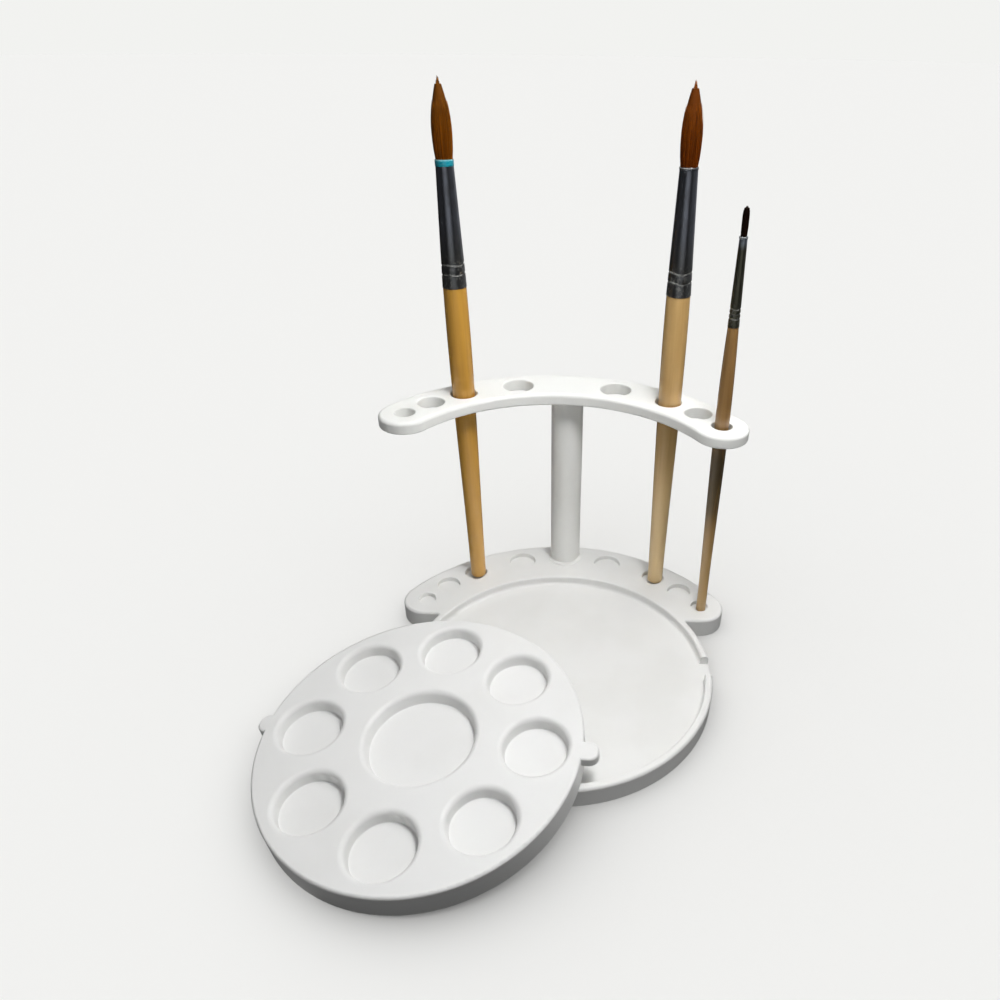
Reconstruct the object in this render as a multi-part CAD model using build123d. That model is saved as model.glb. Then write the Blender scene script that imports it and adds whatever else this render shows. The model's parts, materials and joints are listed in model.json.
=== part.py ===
from build123d import *
from math import asin, cos, hypot, pi, radians, sin, sqrt
import os

# A brush holder of white moulded plastic: a round tray with a crescent behind it, a rack on a post over
# the crescent, a paint palette leaning off the tray's rim, and three brushes that stand in the rack.
# Millimetres. The origin is the middle of the tray on the table, +Y is towards the rack, +Z is up.

os.makedirs("parts", exist_ok=True)

# Tray and the base under it
tray_radius = 65.0
base_height = 9.3
tray_depth = 4.0
rim_width = 3.2
cove_radius = 1.2
rim_outer_round = 1.3
rim_inner_round = 0.7
foot_round = 0.5
corner_round = 0.9
base_wall = 2.0
floor_thickness = 2.0
rib_thickness = 1.6
rib_count = 3
hub_radius = 8.0
notch_width = 10.5
notch_angle = 88.5

# Crescent, the same plan in the base and in the rack; each hole's share of the way to the end one
crescent_gap = 0.8
crescent_shift = 0.9
half_width = 11.0
end_angle = 57.3
hole_shares = [1.0, 0.8185, 0.6108, 0.2845]
small_hole_play = 1.35
medium_hole_play = 0.8
large_hole_radius = 6.65

# Pockets in the base that the brushes' ends stand in
pocket_depth = 2.2
pocket_slack = 0.3
pocket_floor_wall = 1.5
pocket_round = 0.4

# Rack
rack_top = 104.4
rack_thickness = 5.2
rack_top_round = 1.5
rack_bottom_round = 0.8
rack_hole_round = 0.5
rack_turn = -2.5

# Post between the base and the rack, and the screw that holds it
post_radius = 7.25
post_setback = 1.7
post_foot_flare = 0.9
post_foot_height = 1.4
post_foot_edge = 0.45
tenon_radius = 4.5
tenon_fit = 0.05
socket_spare = 0.2
rack_cap = 2.0
boss_radius = 6.5
boss_lift = 0.4
screw_seat = 1.5
screw_radius = 1.5
screw_length = 15.0
screw_point = 2.0
screw_head_radius = 3.2
screw_head_height = 2.2
screw_crown_radius = 2.56
screw_crown_height = 0.7
screw_slot_width = 1.0
screw_slot_depth = 1.1
screw_passage = 0.15
screw_fit = 0.02
screw_tip_room = 0.6

# Palette
palette_slack = 0.5
palette_height = 10.5
palette_wall = 1.6
palette_round = 1.1
well_count = 8
well_gap = 5.12
well_rim_land = 2.2
well_draft = 0.4
well_depth = 5.6
well_round = 2.0
well_floor_round = 0.4
centre_gap = 6.6
centre_draft = 1.0
centre_round = 2.0
tab_width = 8.0
left_tab_reach = 3.4
right_tab_reach = 5.9
tab_thickness = 3.8
tab_corner_round = 3.5
tab_edge_round = 0.9

# Where the palette leans: how far its middle lies off the tray's edge, which way, and how it is turned
palette_off_edge = 3.82
palette_direction = -136.24
palette_turn = -6.7

# Gap under a piece that only rests on another
rest_gap = 0.3

# Brushes; the round end of a handle is an arc through one point, given as shares of its two sizes
butt_height_share = 0.5
butt_arc_across = 0.72
butt_arc_up = 0.3
ferrule_wall = 0.35
ferrule_fit = 0.05
crimp_depth = 0.2
tenon_share = 0.4
plug_gap = 0.3
lip_swell = 0.14
lip_height = 0.9
lip_full_low = 0.6
lip_full_high = 0.2

# Hair; the slice of resin at its root lies between two shares of the ferrule's length
root_low_share = 0.14
root_high_share = 0.10
strand_fill = 0.4
tip_narrowing = 0.86
tip_curve = 1.8
crown_drop = 0.3

big_butt_radius = 3.6
big_belly_radius = 4.9
big_belly_height = 112.0
big_handle_length = 142.5
big_neck_step = 0.15
big_ferrule_radius = 4.85
big_mouth_radius = 3.35
big_ferrule_length = 45.8
big_crimps = [5.2, 8.9]
big_crimp_width = 1.6
big_hair_length = 27.0
big_hair_belly_radius = 3.9
big_hair_belly_height = 10.0
big_strands = 170
band_height = 1.9
band_wall = 0.24
band_lip = 0.4

small_butt_radius = 2.2
small_belly_radius = 2.85
small_belly_height = 104.0
small_handle_length = 137.8
small_neck_step = 0.1
small_ferrule_radius = 2.15
small_mouth_radius = 1.4
small_ferrule_length = 32.1
small_crimps = [3.2, 5.0, 6.8]
small_crimp_width = 0.9
small_hair_length = 10.2
small_hair_belly_radius = 1.28
small_hair_belly_height = 5.0
small_strands = 70

# Each brush's hole, counted from the left end, and how it leans in its pocket and in its rack hole:
# the direction, counted from +X towards +Y, and the share of its play
left_hole = 2
left_butt_lean = (-6.34, 0.7546)
left_top_lean = (0.0, 0.0)
right_hole = 5
right_butt_lean = (-38.99, 0.7505)
right_top_lean = (0.0, 0.6875)
small_hole = 7
small_butt_lean = (-57.53, 0.767)
small_top_lean = (0.0, 0.0)

# How far a cut runs past a face, and how near an edge lies to where it is looked for
overshoot = 1.0
edge_search = 0.01
corner_search = 0.1

# Sizes that follow from the ones above
rim_inner_radius = tray_radius - rim_width
tray_floor = base_height - tray_depth
arc_radius = tray_radius + crescent_gap + half_width
small_hole_radius = small_belly_radius + small_hole_play
medium_hole_radius = big_belly_radius + medium_hole_play
hole_radii = [small_hole_radius, medium_hole_radius, medium_hole_radius, large_hole_radius]
pocket_floor = base_height - pocket_depth
rack_bottom = rack_top - rack_thickness
post_y = crescent_shift + arc_radius + post_setback
head_top = boss_lift + screw_head_height
lower_tenon = base_height - head_top - screw_seat - socket_spare
upper_tenon = rack_thickness - rack_cap - socket_spare
palette_radius = rim_inner_radius - palette_slack
half_step = sin(radians(180 / well_count))
well_room = palette_radius - palette_round - well_rim_land
well_ring_radius = (well_room + well_gap / 2) / (1 + half_step)
well_top_radius = well_ring_radius * half_step - well_gap / 2 - well_round
well_bottom_radius = well_top_radius - well_draft
centre_top_radius = well_ring_radius - well_top_radius - well_round - centre_gap - centre_round
centre_bottom_radius = centre_top_radius - centre_draft


def on_arc(angle):
    """Point on the crescent's middle line, with the angle counted from +Y towards +X."""
    x = arc_radius * sin(radians(angle))
    y = crescent_shift + arc_radius * cos(radians(angle))
    return x, y


def hole_places():
    """Centre and radius of each of the crescent's holes, from the left end to the right end."""
    sizes = [(end_angle * share, radius) for share, radius in zip(hole_shares, hole_radii)]
    left = [(on_arc(-angle), radius) for angle, radius in sizes]
    right = [(on_arc(angle), radius) for angle, radius in sizes]
    return left + right[::-1]


def turned(x, y):
    """Where a point of the crescent lies once the rack is turned about the post."""
    c = cos(radians(rack_turn))
    s = sin(radians(rack_turn))
    dy = y - post_y
    return c * x - s * dy, s * x + c * dy + post_y


def crescent_plan(inset):
    """Crescent with round ends, drawn in from its edge by an inset."""
    middle = CenterArc((0, crescent_shift), arc_radius, 90 - end_angle, 2 * end_angle)
    return SlotArc(middle, 2 * (half_width - inset))


def base_plan(inset):
    """Outline of the whole base: the tray's disc, the crescent and the web that joins them."""
    end_x, end_y = on_arc(end_angle)
    low_y = end_y - half_width + inset
    reach = crescent_shift + arc_radius - low_y
    strip = Pos(0, low_y + reach / 2) * Rectangle(2 * end_x, reach)
    web = (Pos(0, crescent_shift) * Circle(arc_radius)) & strip
    return Circle(tray_radius - inset) + crescent_plan(inset) + web


def spun(*outline):
    """Solid of revolution about Z from a closed outline of (radius, height) points."""
    face = make_face(Polyline(*outline, close=True))
    return revolve(Plane.XZ * face, Axis.Z)


def rims_at(solid, radius, height):
    """Round edges of a solid that have a radius and lie level at a height."""
    circles = solid.edges().filter_by(GeomType.CIRCLE)
    level = [edge for edge in circles if abs(edge.center().Z - height) < edge_search]
    return [edge for edge in level if abs(edge.radius - radius) < edge_search]


def base_shell():
    """Outer form of the base, with its corners and its top and foot edges rounded."""
    plan = base_plan(0)
    tray_reach = tray_radius + corner_search
    sides = [vertex for vertex in plan.vertices() if abs(vertex.X) > tray_radius / 2]
    inner_corners = [vertex for vertex in sides if hypot(vertex.X, vertex.Y) < tray_reach]
    plan = fillet(inner_corners, corner_round)
    solid = extrude(plan, base_height)
    solid = fillet(solid.faces().sort_by(Axis.Z)[-1].outer_wire().edges(), rim_outer_round)
    return fillet(solid.faces().sort_by(Axis.Z)[0].outer_wire().edges(), foot_round)


def tray_hollow():
    """The tray's dish: straight wall, cove at the floor."""
    dish = Pos(0, 0, tray_floor) * extrude(Circle(rim_inner_radius), tray_depth + overshoot)
    return fillet(dish.edges().sort_by(Axis.Z)[0], cove_radius)


def underside():
    """Hollow under the base, less its ribs, hub, pocket cups and post boss."""
    low = extrude(base_plan(base_wall), tray_floor - floor_thickness)
    ring = base_plan(base_wall) - Circle(rim_inner_radius + base_wall)
    high = extrude(ring, base_height - base_wall)
    kept = extrude(Circle(hub_radius), base_height)
    rib = extrude(Rectangle(2 * tray_radius - rim_width, rib_thickness), tray_floor)
    for i in range(rib_count):
        kept += Rot(0, 0, 90 + i * 180 / rib_count) * rib
    cup_low = pocket_floor - pocket_floor_wall
    for (x, y), radius in hole_places():
        kept += Pos(x, y, cup_low) * extrude(Circle(radius + base_wall), base_height)
    kept += Pos(0, post_y, boss_lift) * extrude(Circle(boss_radius), base_height)
    return (low + high) - kept


def rim_notches():
    """The two gaps in the tray's rim, down to its floor and through its cove."""
    reach = rim_width + cove_radius + 2 * overshoot
    notch = extrude(Rectangle(reach, notch_width), tray_depth + overshoot)
    x = tray_radius + overshoot - reach / 2
    y = tray_radius * cos(radians(notch_angle))
    return [Pos(side * x, y, tray_floor) * notch for side in (-1, 1)]


def make_base_tray():
    """Tray, crescent, pockets, notches and underside in one moulding."""
    body = base_shell() - tray_hollow()
    body = fillet(rims_at(body, rim_inner_radius, base_height), rim_inner_round)
    body -= underside()
    for (x, y), radius in hole_places():
        pocket = extrude(Circle(radius - pocket_slack), pocket_depth + overshoot)
        body -= Pos(x, y, pocket_floor) * pocket
    mouths = []
    for radius in set(hole_radii):
        mouths += rims_at(body, radius - pocket_slack, base_height)
    body = fillet(mouths, pocket_round)
    body -= rim_notches()
    socket = extrude(Circle(tenon_radius + tenon_fit), lower_tenon + socket_spare + overshoot)
    body -= Pos(0, post_y, head_top + screw_seat) * socket
    body -= Pos(0, post_y, 0) * extrude(Circle(screw_radius + screw_passage), base_height)
    body -= Pos(0, post_y, 0) * extrude(Circle(screw_head_radius + screw_passage), head_top)
    return body


def make_post():
    """Round post with a tenon at each end, a flared foot and a pilot hole for the screw."""
    height = rack_bottom - base_height
    foot_radius = post_radius + post_foot_flare
    post = extrude(Circle(post_radius), height)
    post += spun((0, 0), (foot_radius, 0), (foot_radius, post_foot_edge), (post_radius, post_foot_height),
                 (0, post_foot_height))
    post += Pos(0, 0, -lower_tenon) * extrude(Circle(tenon_radius), lower_tenon)
    post += Pos(0, 0, height) * extrude(Circle(tenon_radius), upper_tenon)
    pilot = extrude(Circle(screw_radius + screw_fit), boss_lift + screw_length + screw_tip_room)
    return Pos(0, post_y, base_height) * post - Pos(0, post_y, 0) * pilot


def make_post_screw():
    """Pan-head screw from under the base into the post."""
    tip = boss_lift + screw_length
    screw = spun((0, boss_lift), (screw_crown_radius, boss_lift),
                 (screw_head_radius, boss_lift + screw_crown_height), (screw_head_radius, head_top),
                 (screw_radius, head_top), (screw_radius, tip - screw_point), (0, tip))
    slot = Box(2 * screw_head_radius, screw_slot_width, 2 * screw_slot_depth)
    return Pos(0, post_y, 0) * (screw - Pos(0, 0, boss_lift) * slot)


def make_upper_rack():
    """Crescent plate with eight holes, on the post and turned a little about it."""
    plate = extrude(crescent_plan(0), rack_thickness)
    plate = fillet(plate.faces().sort_by(Axis.Z)[-1].outer_wire().edges(), rack_top_round)
    plate = fillet(plate.faces().sort_by(Axis.Z)[0].outer_wire().edges(), rack_bottom_round)
    for (x, y), radius in hole_places():
        plate -= Pos(x, y, 0) * extrude(Circle(radius), rack_thickness)
    rims = []
    for radius in set(hole_radii):
        rims += rims_at(plate, radius, 0) + rims_at(plate, radius, rack_thickness)
    plate = fillet(rims, rack_hole_round)
    plate -= Pos(0, post_y, 0) * extrude(Circle(tenon_radius + tenon_fit), upper_tenon + socket_spare)
    turn = Pos(0, post_y, rack_bottom) * Rot(0, 0, rack_turn) * Pos(0, -post_y, 0)
    return turn * plate


def well_cup(bottom_radius, top_radius, wall):
    """Cone of a well, or with a wall, of the cup around it."""
    low = palette_height - well_depth - wall
    return spun((0, low), (bottom_radius + wall, low), (top_radius + wall, palette_height),
                (0, palette_height))


def well_places():
    """Centres of the ring of wells on the palette's top."""
    angles = [radians(i * 360 / well_count) for i in range(well_count)]
    return [(well_ring_radius * cos(angle), well_ring_radius * sin(angle)) for angle in angles]


def palette_plane():
    """Where the palette leans: its skirt on the tray's rim and, far side down, on the table."""
    away = tray_radius + palette_off_edge
    out_x = cos(radians(palette_direction))
    out_y = sin(radians(palette_direction))
    chord = (away ** 2 + palette_radius ** 2 - tray_radius ** 2) / (2 * away)
    tilt = asin((base_height + rest_gap) / (palette_radius + chord))
    normal = (sin(tilt) * out_x, sin(tilt) * out_y, cos(tilt))
    across = (cos(radians(palette_turn)), sin(radians(palette_turn)), 0)
    middle = (away * out_x, away * out_y, palette_radius * sin(tilt))
    return Plane(origin=middle, x_dir=across, z_dir=normal)


def palette_tab(reach):
    """Lifting tab, a round-ended tongue along +X that starts inside the skirt."""
    plan = fillet(Rectangle(2 * tab_width, tab_width).vertices(), tab_corner_round)
    tab = extrude(Pos(reach - tab_width, 0) * plan, tab_thickness)
    return fillet(tab.faces().sort_by(Axis.Z)[-1].outer_wire().edges(), tab_edge_round)


def make_palette():
    """Round palette: a skirt open below, a ring of wells and a centre well, and two lifting tabs."""
    body = extrude(Circle(palette_radius), palette_height)
    body = fillet(body.edges().sort_by(Axis.Z)[-1], palette_round)
    for turn, reach in ((0, right_tab_reach), (180, left_tab_reach)):
        body += Rot(0, 0, turn) * Pos(palette_radius, 0, palette_height - tab_thickness) * palette_tab(reach)
    hollow = extrude(Circle(palette_radius - palette_wall), palette_height - palette_wall)
    hollow -= well_cup(centre_bottom_radius, centre_top_radius, palette_wall)
    for x, y in well_places():
        hollow -= Pos(x, y, 0) * well_cup(well_bottom_radius, well_top_radius, palette_wall)
    body -= hollow
    body -= well_cup(centre_bottom_radius, centre_top_radius, 0)
    for x, y in well_places():
        body -= Pos(x, y, 0) * well_cup(well_bottom_radius, well_top_radius, 0)
    body = fillet(rims_at(body, well_top_radius, palette_height), well_round)
    body = fillet(rims_at(body, centre_top_radius, palette_height), centre_round)
    floor = palette_height - well_depth
    floors = rims_at(body, well_bottom_radius, floor) + rims_at(body, centre_bottom_radius, floor)
    body = fillet(floors, well_floor_round)
    return palette_plane().location * body


def make_handle(butt_radius, belly_radius, belly_height, neck_radius, length, ferrule_radius, mouth_radius,
                ferrule_length):
    """Turned handle: round butt, slow swell, gentle fall, and a tenon that the ferrule is crimped on."""
    tenon = ferrule_length * tenon_share
    inset = ferrule_wall + ferrule_fit + crimp_depth
    tenon_root = ferrule_radius - inset
    tenon_tip = ferrule_radius_at(tenon, ferrule_radius, mouth_radius, ferrule_length) - inset
    cap = butt_radius * butt_height_share
    end = ThreePointArc((0, 0), (butt_radius * butt_arc_across, cap * butt_arc_up), (butt_radius, cap))
    swell = Spline((butt_radius, cap), ((butt_radius + belly_radius) / 2, (cap + belly_height) / 2),
                   (belly_radius, belly_height), (neck_radius, length))
    rest = Polyline((neck_radius, length), (tenon_root, length), (tenon_tip, length + tenon),
                    (0, length + tenon), (0, 0))
    face = make_face(Curve() + [end, swell, rest])
    return revolve(Plane.XZ * face, Axis.Z)


def ferrule_radius_at(height, ferrule_radius, mouth_radius, ferrule_length):
    """Outside radius of a ferrule at a height over its lower edge."""
    return ferrule_radius + (mouth_radius - ferrule_radius) * height / ferrule_length


def make_ferrule(ferrule_radius, mouth_radius, length, crimps, crimp_width):
    """Seamless tapered metal tube with crimped rings near its lower edge and a rolled lip at its mouth."""
    outer = [(ferrule_radius, 0)]
    inner = [(ferrule_radius - ferrule_wall, 0)]
    for middle in crimps:
        for height, depth in ((middle - crimp_width / 2, 0), (middle - crimp_width / 4, crimp_depth),
                              (middle + crimp_width / 4, crimp_depth), (middle + crimp_width / 2, 0)):
            radius = ferrule_radius_at(height, ferrule_radius, mouth_radius, length)
            outer.append((radius - depth, height))
            inner.append((radius - depth - ferrule_wall, height))
    lip_radius = ferrule_radius_at(length - lip_height, ferrule_radius, mouth_radius, length)
    outer += [(lip_radius, length - lip_height), (lip_radius + lip_swell, length - lip_height * lip_full_low),
              (mouth_radius + lip_swell, length - lip_height * lip_full_high), (mouth_radius, length)]
    inner.append((mouth_radius - ferrule_wall, length))
    return spun(*outer, *inner[::-1])


def make_glue_plug(ferrule_radius, mouth_radius, ferrule_length, top):
    """Hardened resin between the handle's tenon and the root of the hair."""
    low = ferrule_length * tenon_share + plug_gap
    inset = ferrule_wall + ferrule_fit
    low_radius = ferrule_radius_at(low, ferrule_radius, mouth_radius, ferrule_length) - inset
    top_radius = ferrule_radius_at(top, ferrule_radius, mouth_radius, ferrule_length) - inset
    return spun((0, low), (low_radius, low), (top_radius, top), (0, top))


def spread(height, hair_length, belly_height, belly_share):
    """How far the hair stands out at a height over the ferrule's mouth, as a share of its root."""
    if height <= 0:
        return 1.0
    if height <= belly_height:
        return 1.0 + (belly_share - 1.0) * sin(pi / 2 * height / belly_height)
    past = (height - belly_height) / (hair_length - belly_height)
    return belly_share * (1.0 - tip_narrowing * past ** tip_curve)


def make_tuft(root_radius, root_low, root_high, hair_length, belly_radius, belly_height, count):
    """Round pointed tuft: three-sided strands on a slice of the resin that binds their roots."""
    belly_share = belly_radius / root_radius
    spacing = root_radius * sqrt(pi / count)
    thickness = strand_fill * spacing
    golden = pi * (3 - sqrt(5))
    root_middle = (root_low + root_high) / 2
    strands = []
    for i in range(count):
        share = sqrt((i + 0.5) / count)
        reach = (root_radius - thickness) * share
        angle = i * golden
        tip = hair_length * (1.0 - crown_drop * share ** 2)
        heights = [root_middle, 0, belly_height / 2, belly_height, (belly_height + tip) / 2, tip]
        sections = []
        for height in heights:
            scale = spread(height, hair_length, belly_height, belly_share)
            corners = [(scale * (reach * cos(angle) + thickness * cos(angle + k * 2 * pi / 3)),
                        scale * (reach * sin(angle) + thickness * sin(angle + k * 2 * pi / 3)), height)
                       for k in range(3)]
            sections.append(Wire.make_polygon(corners, close=True))
        strands.append(Solid.make_loft(sections, ruled=True))
    backing = Pos(0, 0, root_low) * extrude(Circle(root_radius), root_high - root_low)
    return backing.fuse(*strands)


def make_mouth_band():
    """Coloured sleeve over a large ferrule's mouth."""
    low = big_ferrule_length - band_height
    low_radius = ferrule_radius_at(low, big_ferrule_radius, big_mouth_radius, big_ferrule_length)
    bore = max(low_radius, big_mouth_radius + lip_swell) + ferrule_fit
    top = band_height + band_lip
    ring = spun((bore, 0), (bore + band_wall, 0), (bore + band_wall, top - band_wall),
                (bore + band_wall / 2, top), (bore, top))
    return Pos(0, 0, big_handle_length + low) * ring


def brush_pieces(butt_radius, belly_radius, belly_height, handle_length, neck_step, ferrule_radius,
                 mouth_radius, ferrule_length, crimps, crimp_width, hair, strand_count):
    """Pieces of a round brush, standing on its butt along +Z."""
    taper = (ferrule_radius, mouth_radius, ferrule_length)
    neck_radius = ferrule_radius - neck_step
    root_radius = mouth_radius - ferrule_wall - ferrule_fit
    root_low = -ferrule_length * root_low_share
    root_high = -ferrule_length * root_high_share
    shoulder = Pos(0, 0, handle_length)
    mouth = Pos(0, 0, handle_length + ferrule_length)
    return {
        "handle": make_handle(butt_radius, belly_radius, belly_height, neck_radius, handle_length, *taper),
        "ferrule": shoulder * make_ferrule(*taper, crimps, crimp_width),
        "glue_plug": shoulder * make_glue_plug(*taper, ferrule_length + root_low - plug_gap),
        "tuft": mouth * make_tuft(root_radius, root_low, root_high, *hair, strand_count),
    }


def lean_step(lean, play):
    """Sideways step of a brush that leans in a direction by a share of the play it has."""
    direction, share = lean
    return Vector(share * play * cos(radians(direction)), share * play * sin(radians(direction)), 0)


def brush_stand(hole, butt_radius, belly_radius, butt_lean, top_lean):
    """Where a brush stands: its butt in a pocket, its handle through the hole over it."""
    (x, y), radius = hole_places()[hole]
    foot = Vector(x, y, pocket_floor + rest_gap)
    foot += lean_step(butt_lean, radius - pocket_slack - butt_radius)
    middle = Vector(*turned(x, y), rack_top - rack_thickness / 2)
    middle += lean_step(top_lean, radius - belly_radius)
    return Plane(origin=foot, x_dir=(1, 0, 0), z_dir=(middle - foot).normalized()).location


nodes = {
    "base_tray": make_base_tray(),
    "post": make_post(),
    "post_screw": make_post_screw(),
    "upper_rack": make_upper_rack(),
    "palette": make_palette(),
}

left_stand = brush_stand(left_hole, big_butt_radius, big_belly_radius, left_butt_lean,
                         left_top_lean)
right_stand = brush_stand(right_hole, big_butt_radius, big_belly_radius, right_butt_lean,
                          right_top_lean)
small_stand = brush_stand(small_hole, small_butt_radius, small_belly_radius, small_butt_lean,
                          small_top_lean)

big_hair = (big_hair_length, big_hair_belly_radius, big_hair_belly_height)
big_pieces = brush_pieces(
    big_butt_radius, big_belly_radius, big_belly_height, big_handle_length, big_neck_step,
    big_ferrule_radius, big_mouth_radius, big_ferrule_length, big_crimps, big_crimp_width,
    big_hair, big_strands)
for piece, solid in big_pieces.items():
    nodes["left_brush_" + piece] = left_stand * solid
    nodes["right_brush_" + piece] = right_stand * solid
nodes["left_brush_mouth_band"] = left_stand * make_mouth_band()

small_hair = (small_hair_length, small_hair_belly_radius, small_hair_belly_height)
small_pieces = brush_pieces(
    small_butt_radius, small_belly_radius, small_belly_height, small_handle_length, small_neck_step,
    small_ferrule_radius, small_mouth_radius, small_ferrule_length, small_crimps, small_crimp_width,
    small_hair, small_strands)
for piece, solid in small_pieces.items():
    nodes["small_brush_" + piece] = small_stand * solid

for name, solid in nodes.items():
    export_step(solid, "parts/" + name + ".step")
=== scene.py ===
"""Looks of a white plastic paintbrush holder: its finishes, ferrules, hair, studio light and camera."""

import json
import logging
import math
import random
from dataclasses import dataclass, replace
from enum import Enum
from typing import ClassVar

import bpy
from mathutils import Matrix, Vector


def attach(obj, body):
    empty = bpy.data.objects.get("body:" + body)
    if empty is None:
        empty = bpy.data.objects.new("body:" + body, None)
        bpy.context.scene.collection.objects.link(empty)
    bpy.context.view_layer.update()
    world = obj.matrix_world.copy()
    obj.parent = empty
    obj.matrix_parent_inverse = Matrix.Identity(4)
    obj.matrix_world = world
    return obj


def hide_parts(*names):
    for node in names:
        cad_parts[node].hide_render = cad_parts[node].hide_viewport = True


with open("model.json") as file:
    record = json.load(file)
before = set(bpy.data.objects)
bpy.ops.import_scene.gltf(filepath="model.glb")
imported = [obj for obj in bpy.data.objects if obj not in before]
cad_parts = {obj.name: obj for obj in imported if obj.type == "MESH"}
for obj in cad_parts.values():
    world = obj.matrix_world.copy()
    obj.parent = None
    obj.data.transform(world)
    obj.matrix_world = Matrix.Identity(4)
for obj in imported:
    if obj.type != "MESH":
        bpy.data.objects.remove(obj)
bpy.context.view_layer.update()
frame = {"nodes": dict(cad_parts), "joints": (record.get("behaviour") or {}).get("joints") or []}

LOG = logging.getLogger("holder")
MM = 0.001
SAME_POINT = 0.001 * MM
GOLDEN_ANGLE = math.pi * (3 - math.sqrt(5))
Colour = tuple[float, float, float, float]
Size = tuple[float, float, float]
Step = tuple[float, float]
Wave = tuple[int, float, float]
# Most of a noise's values lie in this range.
MIDDLE: Step = (0.3, 0.7)


def tint(red: float, green: float, blue: float) -> Colour:
    """Opaque colour of three linear shares."""
    return red, green, blue, 1.0


def ripple(angle: float, waves: tuple[Wave, ...]) -> float:
    """Rise and fall of an uneven edge round a circle.

    Args:
        angle: The place round the circle, in radians.
        waves: For each wave, how often it repeats, its share and where it starts.

    Returns:
        The sum of the waves.
    """
    return sum(share * math.sin(count * angle + start) for count, share, start in waves)


class Side(Enum):
    """The three brushes, by the names of their bodies."""

    LEFT = "left_brush"
    RIGHT = "right_brush"
    SMALL = "small_brush"


def only(*objects: bpy.types.Object) -> None:
    """Selects these objects alone and makes the first one active.

    Args:
        objects: The objects to select.
    """
    bpy.ops.object.select_all(action="DESELECT")
    for piece in objects:
        piece.select_set(True)
    bpy.context.view_layer.objects.active = objects[0]


@dataclass(frozen=True)
class Pattern:
    """Soft noise: the size of its cells in millimetres, its octaves and its distortion."""

    cell: Size
    detail: float = 3.0
    warp: float = 0.0


class Graph:
    """Node tree of one material, with short calls that add and join its nodes."""

    # Numbers of the mix node's sockets for colours: its factor, its two inputs and its output.
    MIX_FACTOR, MIX_FIRST, MIX_SECOND, MIX_RESULT = 0, 6, 7, 2

    def __init__(self, name: str) -> None:
        """Makes the material with its principled shader.

        Args:
            name: The material's name.
        """
        self.material = bpy.data.materials.new(name)
        self.material.use_nodes = True
        self.nodes = self.material.node_tree.nodes
        self.links = self.material.node_tree.links
        self.shader = next(node for node in self.nodes if node.type == "BSDF_PRINCIPLED")

    def feed(self, socket: bpy.types.NodeSocket, value: object) -> None:
        """Joins a socket to another one, or sets its value.

        Args:
            socket: The input to feed.
            value: An output socket, or a plain value.
        """
        if isinstance(value, bpy.types.NodeSocket):
            self.links.new(value, socket)
        else:
            socket.default_value = value

    def add(self, kind: str, inputs: dict[str, object], **settings: object) -> bpy.types.Node:
        """Adds a node.

        Args:
            kind: The node's type.
            inputs: What feeds each named or numbered input.
            settings: The node's own settings.

        Returns:
            The new node.
        """
        node = self.nodes.new(kind)
        for name, value in settings.items():
            setattr(node, name, value)
        for name, value in inputs.items():
            self.feed(node.inputs[name], value)
        return node

    def finish(self, **inputs: object) -> bpy.types.Material:
        """Feeds the shader's inputs.

        Args:
            inputs: Values or sockets, with underscores for the spaces in the inputs' names.

        Returns:
            The finished material.
        """
        for name, value in inputs.items():
            self.feed(self.shader.inputs[name.replace("_", " ")], value)
        return self.material

    def spot(self, place: Matrix, unit: Size) -> bpy.types.NodeSocket:
        """Coordinates of the surface, seen from a place and counted in units of a size.

        Args:
            place: The pattern's own frame.
            unit: The size of one unit along each axis, in millimetres.

        Returns:
            The coordinates' socket.
        """
        position = self.add("ShaderNodeTexCoord", {}).outputs["Object"]
        inputs = {"Vector": position, "Location": place.to_translation(),
                  "Rotation": place.to_euler(), "Scale": [side * MM for side in unit]}
        return self.add("ShaderNodeMapping", inputs, vector_type="TEXTURE").outputs["Vector"]

    def height(self, place: Matrix) -> bpy.types.NodeSocket:
        """Height along a place's own Z axis, in millimetres."""
        local = self.spot(place, (1.0, 1.0, 1.0))
        return self.add("ShaderNodeSeparateXYZ", {"Vector": local}).outputs["Z"]

    def noise(self, place: Matrix, pattern: Pattern) -> bpy.types.NodeSocket:
        """Soft noise of a pattern's cells in a place's own frame."""
        inputs = {"Vector": self.spot(place, pattern.cell), "Scale": 1.0, "Detail": pattern.detail,
                  "Distortion": pattern.warp}
        return self.add("ShaderNodeTexNoise", inputs).outputs["Fac"]

    def band(self, value: object, step: Step, low: float = 0.0, high: float = 1.0) -> bpy.types.NodeSocket:
        """Smooth step of a value from a low level to a high one, between a step's start and its end."""
        inputs = {"Value": value, "From Min": step[0], "From Max": step[1], "To Min": low, "To Max": high}
        return self.add("ShaderNodeMapRange", inputs, interpolation_type="SMOOTHSTEP").outputs["Result"]

    def calc(self, kind: str, first: object, second: object) -> bpy.types.NodeSocket:
        """Arithmetic of two values, with the operation's name in Blender."""
        return self.add("ShaderNodeMath", {0: first, 1: second}, operation=kind).outputs[0]

    def blend(self, share: object, first: object, second: object) -> bpy.types.NodeSocket:
        """Blend of two colours.

        Args:
            share: The second colour's share.
            first: The first colour.
            second: The second colour.

        Returns:
            The blend's socket.
        """
        node = self.add("ShaderNodeMix", {}, data_type="RGBA")
        self.feed(node.inputs[self.MIX_FACTOR], share)
        self.feed(node.inputs[self.MIX_FIRST], first)
        self.feed(node.inputs[self.MIX_SECOND], second)
        return node.outputs[self.MIX_RESULT]

    def relief(self, height: object, depth: float, strength: float) -> bpy.types.NodeSocket:
        """Normal of a surface relief from its height map, with its depth in millimetres."""
        inputs = {"Height": height, "Distance": depth * MM, "Strength": strength}
        return self.add("ShaderNodeBump", inputs).outputs["Normal"]


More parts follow.
